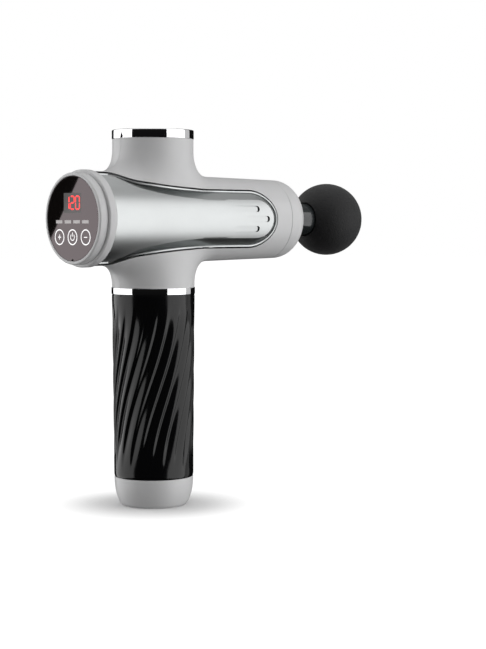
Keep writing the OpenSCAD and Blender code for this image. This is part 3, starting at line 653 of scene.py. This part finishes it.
def smoothed(bm, verts):
    bmesh.ops.smooth_vert(bm, verts=verts, factor=0.5, use_axis_x=True, use_axis_y=True, use_axis_z=True)


def housingSkin():
    # two crossed cones as one open surface, from the rear ring to the nose and from ring to ring
    spare = housing["spare"] * mm
    bm = bmesh.new()
    backX, frontX = shellX - spare, noseX + spare
    bmesh.ops.create_cone(bm, cap_ends=True, segments=128, radius1=barrelR(backX),
                          radius2=barrelR(frontX), depth=frontX - backX,
                          matrix=alongBarrel((backX + frontX) / 2))
    for low, high, r in ((axisZ, topRingZ + spare, housing["upperNeckR"]),
                         (lowNeckZ - spare, axisZ, housing["lowerNeckR"])):
        bmesh.ops.create_cone(bm, cap_ends=True, segments=128, radius1=r * mm, radius2=r * mm,
                              depth=high - low, matrix=upHandle((low + high) / 2))
    remesh = dict(mode="VOXEL", voxel_size=housing["voxel"] * mm)
    bm = meshToBm(modified(bm, ("REMESH", remesh)))
    inner = [v for v in bm.verts if shellX - 2 * mm < v.co.x < noseX + 2 * mm
             and lowNeckZ - 2 * mm < v.co.z < topRingZ + 2 * mm]
    for _ in range(3):
        smoothed(bm, inner)
    kept = set(inner)
    outside = [v for v in bm.verts if v not in kept]
    bmesh.ops.delete(bm, geom=outside, context="VERTS")
    settleOnField(bm, 6)
    smoothed(bm, bm.verts)
    settleOnField(bm, 4)
    return bm


def sideCutter(side):
    # a prism through one side of the barrel, with the channel's outline
    top = outline(panel["channelTip"], channelHalf)
    pts = [(top[0][0] - 6, top[0][1])] + top
    loop = pts + [(x, -z) for x, z in reversed(pts[:-1])]
    bm = bmesh.new()
    moved = raisedPrism(bm, [(x * mm, 0, axisZ + z * mm) for x, z in loop])
    bmesh.ops.translate(bm, verts=moved, vec=(0, side * housing["beyond"] * mm, 0))
    bmesh.ops.recalc_face_normals(bm, faces=bm.faces)
    return cutter(bm)


def housingHalf(skin, side, name, node):
    # one side of the skin, trimmed to its neighbours, thickened and opened for the side panel
    bm = skin.copy()
    planes = [((shellX, 0, 0), (-1, 0, 0)), ((noseX, 0, 0), (1, 0, 0)),
              ((0, 0, topRingZ), (0, 0, 1)), ((0, 0, lowNeckZ), (0, 0, -1)),
              ((0, side * housing["seamGap"] * mm, 0), (0, -side, 0))]
    for place, out in planes:
        geom = bm.verts[:] + bm.edges[:] + bm.faces[:]
        bmesh.ops.bisect_plane(bm, geom=geom, plane_co=place, plane_no=out, clear_outer=True, dist=1e-6)
    faceOutwards(bm, side)
    mesh = modified(bm, shellOf(housing["wall"]), cutAway(sideCutter(side)))
    addPiece(name, mesh, "housing", [finish["greyPlastic"]], [node], sharp=38)


skin = housingSkin()
housingHalf(skin, 1, "housingLeft", "shell_left")
housingHalf(skin, -1, "housingRight", "shell_right")
skin.free()
print("housing ready")


def skinY(x, z):
    # how far the housing's surface stands out at x and height z, both in millimetres
    low, high = 0, housing["beyond"] * mm
    for _ in range(24):
        middle = (low + high) / 2
        inside = housingField(np.array([[x * mm, middle, axisZ + z * mm]]))[0] < 0
        low, high = (middle, high) if inside else (low, middle)
    return low


def onFace(x, turn, lift):
    # a point on the barrel, raised by lift in millimetres
    r = barrelR(x * mm) + lift * mm
    return Vector((x * mm, r * cos(turn), axisZ + r * sin(turn)))


def sidePanel(side, name, node):
    # a silver face, a bevel that drops away from it in the same silver darkened with painted shade, and a
    # rim that stands up against the housing
    inner = outline(panel["tip"], panelHalf)
    outer = outline(panel["channelTip"] - panel["rim"], rimHalf)
    inner = inner + [(x, -z) for x, z in reversed(inner[:-1])]
    outer = outer + [(x, -z) for x, z in reversed(outer[:-1])]
    endX = panel["tip"] - panelHalf(panel["tip"])
    faceRows, bevelRows, rimRows = 12, 7, 3
    cols, rows = len(inner) - 1, faceRows + bevelRows + rimRows

    def spot(i, j):
        x, z = inner[i]
        turn = asin(max(-1, min(1, z * mm / barrelR(x * mm))))
        if j <= faceRows:
            within = j / faceRows
            spine = min(x, endX)
            return onFace(spine + (x - spine) * within, turn * within, panel["lift"])
        x2, z2 = outer[i]
        foot = onFace(x2, asin(z2 * mm / barrelR(x2 * mm)), -panel["channelDepth"])
        if j > faceRows + bevelRows:
            rimY = max(foot.y + panel["rimLeast"] * mm, skinY(x2, z2) - panel["rimSunk"] * mm)
            return foot.lerp(Vector((foot.x, rimY, foot.z)), (j - faceRows - bevelRows) / rimRows)
        start = onFace(x, turn, panel["lift"])
        share = (j - faceRows) / bevelRows
        outwards = (start - Vector((start.x, 0, axisZ))).normalized()
        bulge = panel["edge"] * mm * (1 - share) ** 4 * share
        return start.lerp(foot, share) + outwards * bulge

    bm = bmesh.new()
    bmesh.ops.create_grid(bm, x_segments=cols, y_segments=rows, size=0.5)
    for f in bm.faces:
        row = (f.calc_center_median().y + 0.5) * rows
        f.material_index = (row > faceRows) + (row > faceRows + bevelRows)
    for v in bm.verts:
        v.co = spot(round((v.co.x + 0.5) * cols), round((v.co.y + 0.5) * rows))
        v.co.y *= side
    bmesh.ops.remove_doubles(bm, verts=bm.verts, dist=0.02 * mm)
    faceOutwards(bm, side)
    tools = [shellOf(panel["wall"])]
    for x, z in ((ventSlots["outerX"], ventSlots["pitch"]), (ventSlots["middleX"], 0),
                 (ventSlots["outerX"], -ventSlots["pitch"])):
        for shape in (slotRamp, slotVent):
            tools.append(cutAway(shape(side, x, z)))
    mesh = modified(bm, *tools)
    # the bevel rows take the silver darkened as painted shade
    paints = [finish["silverPaint"], finish["bevelSilverPaintedShade"], finish["greyPlastic"]]
    addPiece(name, mesh, "housing", paints, [node], sharp=24)


def slotPrism(side, z0, loop, depthAt):
    # an outline in x and height cut into the panel's face, as deep as depthAt says for each x
    bm = bmesh.new()
    outerVerts = set(raisedPrism(bm, [(x * mm, 0, axisZ + (z0 + z) * mm) for x, z in loop]))
    for v in bm.verts:
        surfaceY = sqrt((barrelR(v.co.x) + panel["lift"] * mm) ** 2 - (v.co.z - axisZ) ** 2)
        lift = ventSlots["clear"] if v in outerVerts else -depthAt(v.co.x / mm)
        v.co.y = side * (surfaceY + lift * mm)
    bmesh.ops.recalc_face_normals(bm, faces=bm.faces)
    return cutter(bm)


def slotRamp(side, x0, z0):
    # a pill whose floor slopes in towards the front
    r = ventSlots["width"] / 2
    ends = (x0 + r, x0 + ventSlots["length"] - r)
    loop = [(ends[1] + r * sin(t), r * cos(t)) for t in np.linspace(0, pi, 17)]
    loop += [(ends[0] - r * sin(t), -r * cos(t)) for t in np.linspace(0, pi, 17)]
    deepen = ventSlots["slope"] / ventSlots["length"]
    return slotPrism(side, z0, loop, lambda x: ventSlots["start"] + deepen * (x - x0))


def slotVent(side, x0, z0):
    # the open crescent at the front end of a slot
    r = ventSlots["width"] / 2
    end = x0 + ventSlots["length"] - r
    turns = np.linspace(ventSlots["narrow"], pi - ventSlots["narrow"], 17)
    loop = [(end + r * sin(t), r * cos(t)) for t in turns]
    loop += [(end - ventSlots["vent"] + r * sin(t), -r * cos(t)) for t in turns]
    return slotPrism(side, z0, loop, lambda x: ventSlots["through"])


sidePanel(1, "sidePanelLeft", "side_panel_left")
sidePanel(-1, "sidePanelRight", "side_panel_right")
print("side panels ready")


# what is turned about the barrel; profiles are (radius, forwards, fillet) in millimetres
ringLen = (shellX - ringX) / mm
bezelLen = (ringX - rearX) / mm
turned = dict(
    rearRing=[(22, 0.1, 0.2), (28.5, 0.1, 1.1), (28.5, ringLen - 0.15, 0.35), (24.6, ringLen - 0.15, 0),
              (24.6, ringLen + 4, 0.3), (22, ringLen + 4, 0.3)],
    bezel=[(24.86, 0, 0.18), (26.8, 0, 1.0), (26.8, bezelLen, 0.2), (21.9, bezelLen, 0),
           (21.9, bezelLen + 3.4, 0.2), (20.2, bezelLen + 3.4, 0.2), (20.2, 6.4, 0), (19, 6.4, 0),
           (19, 3.9, 0.2), (23, 2.9, 0), (23, 1.62, 0), (24.86, 1.62, 0)],
)
nose = dict(length=(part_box("nose_cap")[1].x - noseX) / mm, radius=11.7, turn=45, wall=3, bowl=20.3,
            bowlDeep=8, floor=2.5, hole=11.2, steps=14, seam=0.22)


def noseProfile():
    # a short cone that rounds over to its rim, and the bowl in front of the bush
    startR = barrelR(noseX) / mm
    length, radius = nose["length"], nose["radius"]
    arcAt = length - radius * sin(radians(nose["turn"]))
    arcTop = startR - housing["taper"] * arcAt
    arc = []
    for k in range(nose["steps"] + 1):
        turn = radians(nose["turn"]) * k / nose["steps"]
        arc.append((arcTop - radius * (1 - cos(turn)), arcAt + radius * sin(turn), 0))
    rimR = arc[-1][0]
    floorAt = length - nose["bowlDeep"]
    return ([(startR - nose["wall"], nose["seam"], 0.2), (startR, nose["seam"], 0.45)] + arc[:-1]
            + [(rimR, length, 0.3), (nose["bowl"], length, 0.25), (nose["bowl"], floorAt, 1.5),
               (nose["hole"], floorAt, 0.3), (nose["hole"], floorAt - nose["floor"], 0.3),
               (startR - nose["wall"], floorAt - nose["floor"], 0)])


for name, profile, x, node in (("rearRing", turned["rearRing"], ringX, "rear_ring"),
                               ("displayBezel", turned["bezel"], rearX, "bezel"),
                               ("noseCone", noseProfile(), noseX, "nose_cap")):
    makePiece(name, spun(profile, alongBarrel(x)), "housing",
              [finish["greyPlastic"]], [node])


# control glass: a disc with a small notch below, and what is printed or lit on it
glass = dict(radius=24.78, sunk=0.18, thick=1.4, notch=1.3, proud=0.06, deep=0.02, flatEdge=0.5)
icons = dict(ringX=(12.6, 0, -12.6), ringZ=-10.8, ringR=4.6, line=0.65, arm=1.5, powerR=2.1,
             dashY=(12.8, 4.4, -4.0, -12.4), dashZ=-1.9, dash=(6.2, 1.86), thin=0.5,
             window=(16.5, 11.6), windowZ=9.0, digitZ=9.1, digit=(3.7, 7.4), digitGap=5.0, stroke=0.85)


def glassDisc():
    r, t = glass["radius"], glass["thick"]
    bm = spun([(0, 0, 0), (r - glass["flatEdge"], 0, 0), (r, 0, 0.3), (r, t, 0.2), (0, t, 0)],
              alongBarrel(rearX + glass["sunk"] * mm), closed=False)
    notch = bmesh.new()
    bmesh.ops.create_cone(notch, cap_ends=True, segments=32, radius1=glass["notch"] * mm,
                          radius2=glass["notch"] * mm, depth=6 * mm,
                          matrix=alongBarrel(rearX) @ Matrix.Translation((r * mm, 0, 0)))
    mesh = modified(bm, cutAway(cutter(notch)))
    addPiece("controlGlass", mesh, "housing", [finish["panelGlass"]], ["display_glass"])


def raised(outlines, proud):
    # flat outlines of (left, up) points in millimetres, raised a little from the glass
    bm = bmesh.new()
    onGlass = Vector((rearX + glass["sunk"] * mm, 0, axisZ))
    for points in outlines:
        top = raisedPrism(bm, [onGlass + Vector((glass["deep"], y, z)) * mm for y, z in points])
        bmesh.ops.translate(bm, verts=top, vec=(-(proud + glass["deep"]) * mm, 0, 0))
    bmesh.ops.recalc_face_normals(bm, faces=bm.faces)
    return bm


def flatBox(y, z, w, h):
    return [(y + a * w / 2, z + b * h / 2) for a, b in ((-1, -1), (1, -1), (1, 1), (-1, 1))]


def flatBand(y, z, r, line, start, end, steps=40):
    # part of a ring round a centre, between two turns
    turns = [start + (end - start) * k / steps for k in range(steps + 1)]
    ring = [(y + (r - line) * sin(a), z + (r - line) * cos(a)) for a in turns]
    return ring + [(y + r * sin(a), z + r * cos(a)) for a in reversed(turns)]


def printedIcons():
    # plus, power and minus in rings, the row of level dashes and the window behind the digits
    shapes = []
    z, line, arm, thin = icons["ringZ"], icons["line"], icons["arm"], icons["thin"]
    plusY, powerY, minusY = icons["ringX"]
    for y in icons["ringX"]:
        shapes.append(flatBand(y, z, icons["ringR"], line, 0, pi))
        shapes.append(flatBand(y, z, icons["ringR"], line, pi, 2 * pi))
    # the plus's upright is in two parts, which stop just clear of its crossbar
    clear = 0.52 * thin
    shapes += [flatBox(plusY, z, 2 * arm, thin), flatBox(minusY, z, 2 * arm, thin)]
    shapes += [flatBox(plusY, z + up * (arm + clear) / 2, thin, arm - clear) for up in (1, -1)]
    shapes.append(flatBand(powerY, z, icons["powerR"], thin, radians(38), radians(322)))
    shapes.append(flatBox(powerY, z + icons["powerR"] * 0.75, thin, icons["powerR"] * 1.1))
    makePiece("printedIcons", raised(shapes, glass["proud"]), "housing",
              [finish["whiteLight"]])
    dashes = [flatBox(y, icons["dashZ"], *icons["dash"]) for y in icons["dashY"]]
    makePiece("levelDashes", raised(dashes, glass["proud"]), "housing",
              [finish["dimLight"]])
    window = [flatBox(0, icons["windowZ"], *icons["window"])]
    makePiece("digitWindow", raised(window, glass["proud"] * 0.5), "housing",
              [finish["windowTint"]])


# which of the seven bars each digit lights: t top, m middle, f foot, a and b the upper left and
# upper right, c or d the lower left, e the lower right
barsOf = {"0": "tabdef", "1": "be", "2": "tbmcf"}


def litDigits(text):
    w, h = icons["digit"]
    s = icons["stroke"]
    z0 = icons["digitZ"]

    def flat(y, z):
        return [(y - w / 2 + s, z - s / 2), (y + w / 2 - s, z - s / 2), (y + w / 2 - s / 2, z),
                (y + w / 2 - s, z + s / 2), (y - w / 2 + s, z + s / 2), (y - w / 2 + s / 2, z)]

    def tall(y, z):
        shoulder, tip = h / 4 - s * 0.6, h / 4 - s * 0.1
        return [(y + s / 2, z - shoulder), (y + s / 2, z + shoulder), (y, z + tip),
                (y - s / 2, z + shoulder), (y - s / 2, z - shoulder), (y, z - tip)]

    bars = {"t": (flat, 0, h / 2), "m": (flat, 0, 0), "f": (flat, 0, -h / 2), "a": (tall, w / 2, h / 4),
            "b": (tall, -w / 2, h / 4), "c": (tall, w / 2, -h / 4), "d": (tall, w / 2, -h / 4),
            "e": (tall, -w / 2, -h / 4)}
    shapes = []
    for i, letter in enumerate(text):
        y0 = icons["digitGap"] * (1 - i)
        for bar in barsOf[letter]:
            shape, y, z = bars[bar]
            shapes.append(shape(y0 + y, z0 + z))
    makePiece("litDigits", raised(shapes, glass["proud"]), "housing",
              [finish["redLight"]])


glassDisc()
printedIcons()
litDigits("120")
print("control end ready")


# what is turned about the handle; profiles are (radius, up, fillet) in millimetres
upright = dict(
    topRing=[(20.4, -3, 0.2), (21.35, -3, 0.2), (21.35, 0.05, 0), (24.6, 0.05, 0.25), (24.6, 5.4, 0.55),
             (22.6, 5.4, 0.3), (22.6, 2, 0.1), (20.4, 2, 0.2)],
    topCap=[(0, 0, 0), (22.5, 0, 0.2), (22.5, 3.2, 0.5), (20.4, 3.2, 0.6), (19.6, 2.5, 0.6), (0, 2.9, 0)],
    neckRing=[(22.05, 0.05, 0.1), (25.2, 0.05, 0.3), (25.2, 4.05, 0.3), (22.05, 4.05, 0.1)],
)
makePiece("topRing", spun(upright["topRing"], upHandle(topRingZ)), "housing",
          [finish["chrome"]], ["top_ring"])
makePiece("topCap", spun(upright["topCap"], upHandle(topRingZ + 2 * mm), closed=False), "housing",
          [finish["glossBlack"]], ["top_cap"])
makePiece("neckRing", spun(upright["neckRing"], upHandle(gripTopZ)), "housing",
          [finish["chrome"]], ["neck_ring"])


# grip: ribs that rise slowly and fall steeply, wound in a long S and fading at both ends
grip = dict(ribs=22, perRib=16, rows=120, top=25.0, low=24.0, depth=1.25, turn=60, crest=0.74,
            wall=1.1, plain=0.03, fade=0.24, edge=0.012, lowRound=0.35, topRound=0.25)


def smooth(t):
    t = max(0.0, min(1.0, t))
    return t * t * (3 - 2 * t)


def ribHeight(phase):
    # 0 in the groove and 1 on the crest
    if phase < grip["crest"]:
        return smooth(phase / grip["crest"]) ** 0.85
    return 1 - smooth((phase - grip["crest"]) / (1 - grip["crest"]))


def gripSleeve():
    cols = grip["ribs"] * grip["perRib"]
    rows = grip["rows"]
    bm = bmesh.new()
    bmesh.ops.create_grid(bm, x_segments=cols, y_segments=rows, size=0.5)
    high = (gripTopZ - gripLowZ) / mm
    for v in bm.verts:
        i, t = round((v.co.x + 0.5) * cols), v.co.y + 0.5
        phase = (i / grip["perRib"]) % 1
        fade = smooth((t - grip["plain"]) / grip["fade"]) * smooth((1 - grip["plain"] - t) / grip["fade"])
        r = grip["low"] + (grip["top"] - grip["low"]) * t - grip["depth"] * fade * (1 - ribHeight(phase))
        lowEdge, topEdge = (smooth(1 - d / grip["edge"]) for d in (t, 1 - t))
        r -= grip["lowRound"] * lowEdge + grip["topRound"] * topEdge
        angle = 2 * pi * i / cols + radians(grip["turn"]) * smooth(t)
        v.co = Vector((r * cos(angle), r * sin(angle), gripLowZ / mm + high * t)) * mm
    bmesh.ops.remove_doubles(bm, verts=bm.verts, dist=1e-6)
    bmesh.ops.recalc_face_normals(bm, faces=bm.faces)
    mesh = modified(bm, shellOf(grip["wall"]))
    addPiece("flutedGrip", mesh, "housing", [finish["glossBlack"]], ["grip_sleeve"],
             sharp=60)


gripSleeve()


# base: a cup that curves in to the foot, open below for the switch and the inlet
base = dict(top=23.9, high=17.6, curl=3.3, power=2.4, foot=19.2, round=1.4, recess=14.4, recessDeep=3,
            spigot=20.3, spigotHigh=5, seam=0.12, levels=9)
# openings in its floor: the rocker's slot is (x, y, wide, deep) and the bores are (x, y, radius)
baseOpenings = dict(slot=(-5.6, 0, 10, 15), bores=((7.2, 0, 4.2), (2.6, 11.4, 1.3), (2.6, -11.4, 1.3)),
                    middle=8, high=12.8)


def baseCup():
    bend = []
    for i in range(base["levels"] - 1, 0, -1):
        t = i / base["levels"]
        bend.append((base["top"] - base["curl"] * (1 - t) ** base["power"],
                     base["round"] + (base["high"] - base["round"]) * t, 0))
    rimZ = base["high"] - base["seam"]
    outer = [(base["spigot"], rimZ, 0), (base["top"], rimZ, 0.5)] + bend
    outer += [(base["foot"] + base["round"], base["round"], 0.9), (base["foot"], 0, 0.7)]
    inner = [(base["recess"], 0, 0.5), (base["recess"], base["recessDeep"], 0.2),
             (0, base["recessDeep"], 0)]
    spigotTop = base["high"] + base["spigotHigh"]
    bm = spun([(0, spigotTop, 0), (base["spigot"], spigotTop, 0.3)] + outer + inner, closed=False)
    middle, high = baseOpenings["middle"] * mm, baseOpenings["high"] * mm
    x, y, wide, deep = (v * mm for v in baseOpenings["slot"])
    slot = bmesh.new()
    bmesh.ops.create_cube(slot, size=1, matrix=Matrix.Translation((x, y, middle))
                          @ Matrix.Diagonal((wide, deep, high, 1)))
    tools = [cutAway(cutter(slot))]
    for x, y, r in baseOpenings["bores"]:
        bore = bmesh.new()
        bmesh.ops.create_cone(bore, cap_ends=True, segments=48, radius1=r * mm, radius2=r * mm,
                              depth=high, matrix=Matrix.Translation((x * mm, y * mm, middle)))
        tools.append(cutAway(cutter(bore)))
    mesh = modified(bm, *tools)
    addPiece("baseCup", mesh, "housing", [finish["greyPlastic"]], ["base_cap"])


baseCup()
print("handle ready")


# massage head: shank and collar, and a foam ball with fine pores
head = dict(shankR=7.0, shankLen=20, grooveR=5.8, groove=(-14.0, -12.0), collarR=10.2, collarLen=13.7,
            neckR=7.5, hole=11.0, holeFlare=1.2, holeDeep=1.3, poreDepth=0.12, poreSizes=(46, 97))
neckEnd = (ballX - collarX) / mm - 6


def headStem():
    shank, collar = head["shankLen"], head["collarLen"]
    grooveR, (low, top) = head["grooveR"], head["groove"]
    profile = [(0, -shank, 0), (head["shankR"], -shank, 0.6), (head["shankR"], low - 0.1, 0.2),
               (grooveR, low, 0.2), (grooveR, top, 0.2), (head["shankR"], top + 0.1, 0.2),
               (head["shankR"], 0, 0.1), (head["collarR"], 0, 0.5),
               (head["collarR"], collar - 0.6, 0.5), (head["collarR"] - 1.6, collar + 0.9, 0.4),
               (head["neckR"], collar + 0.9, 0.1), (head["neckR"], neckEnd, 0.2), (0, neckEnd, 0)]
    makePiece("headStem", spun(profile, alongBarrel(collarX), closed=False), "massage_head",
              [finish["darkPlastic"]], ["head_stem"])


def foamBall():
    bm = bmesh.new()
    large, small = head["poreSizes"]
    bmesh.ops.create_icosphere(bm, subdivisions=7, radius=1)
    for v in bm.verts:
        out = v.co.normalized()
        pore = noise.noise(out * large) + 0.5 * noise.noise(out * small)
        v.co = out * (ballR - head["poreDepth"] * max(0, 0.6 + pore) * mm)
    bmesh.ops.translate(bm, verts=bm.verts, vec=(ballX, 0, axisZ))
    # the pocket hugs the stem's neck a touch tightly, so no gap shows
    hug = 0.02
    pocketR, pocketEnd = head["neckR"] - hug, neckEnd - hug
    mouth = head["collarLen"] + head["holeDeep"]
    hole = spun([(0, -30, 0), (head["hole"] + head["holeFlare"], -30, 0), (head["hole"], mouth, 0.8),
                 (pocketR, mouth, 0), (pocketR, pocketEnd, 0), (0, pocketEnd, 0)],
                alongBarrel(collarX), closed=False, segments=96)
    mesh = modified(bm, cutAway(cutter(hole)))
    ball = addPiece("foamBall", mesh, "massage_head", [finish["foam"]], ["head_ball"], sharp=70)


headStem()
foamBall()
print("massage head ready")


# the CAD pieces that stay: what is inside, and the small parts under the foot
inside = dict(
    steel=["touch_springs", "display_screws", "base_screws", "cell_links", "motor_stator",
           "motor_bearings", "motor_shaft", "crank_disc", "crank_pin", "rod_bearing", "wrist_pin",
           "frame_screws", "shell_screws"],
    alloy=["drive_frame", "rotor_bell", "connecting_rod", "piston"],
    copper=["motor_windings"],
    brass=["charge_pin"],
    board=["display_board", "battery_board", "driver_board"],
    cellWrap=["battery_cells"],
    bearingPlastic=["front_bush"],
    magnet=["rotor_magnets"],
    wire=["battery_leads", "motor_leads", "display_leads"],
    rubber=["nose_seal", "damper_rings", "head_ring"],
    darkPlastic=["handle_tube", "charge_socket", "switch_housing", "cell_holder_lower",
                 "cell_holder_upper", "driver_parts"],
    glossBlack=["power_rocker"],
    redLight=["digit_module"],
    whiteLight=["level_lights"],
)
for look, nodes in inside.items():
    for node in nodes:
        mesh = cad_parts[node].data
        mesh.materials.clear()
        mesh.materials.append(finish[look])
print("inner pieces finished")
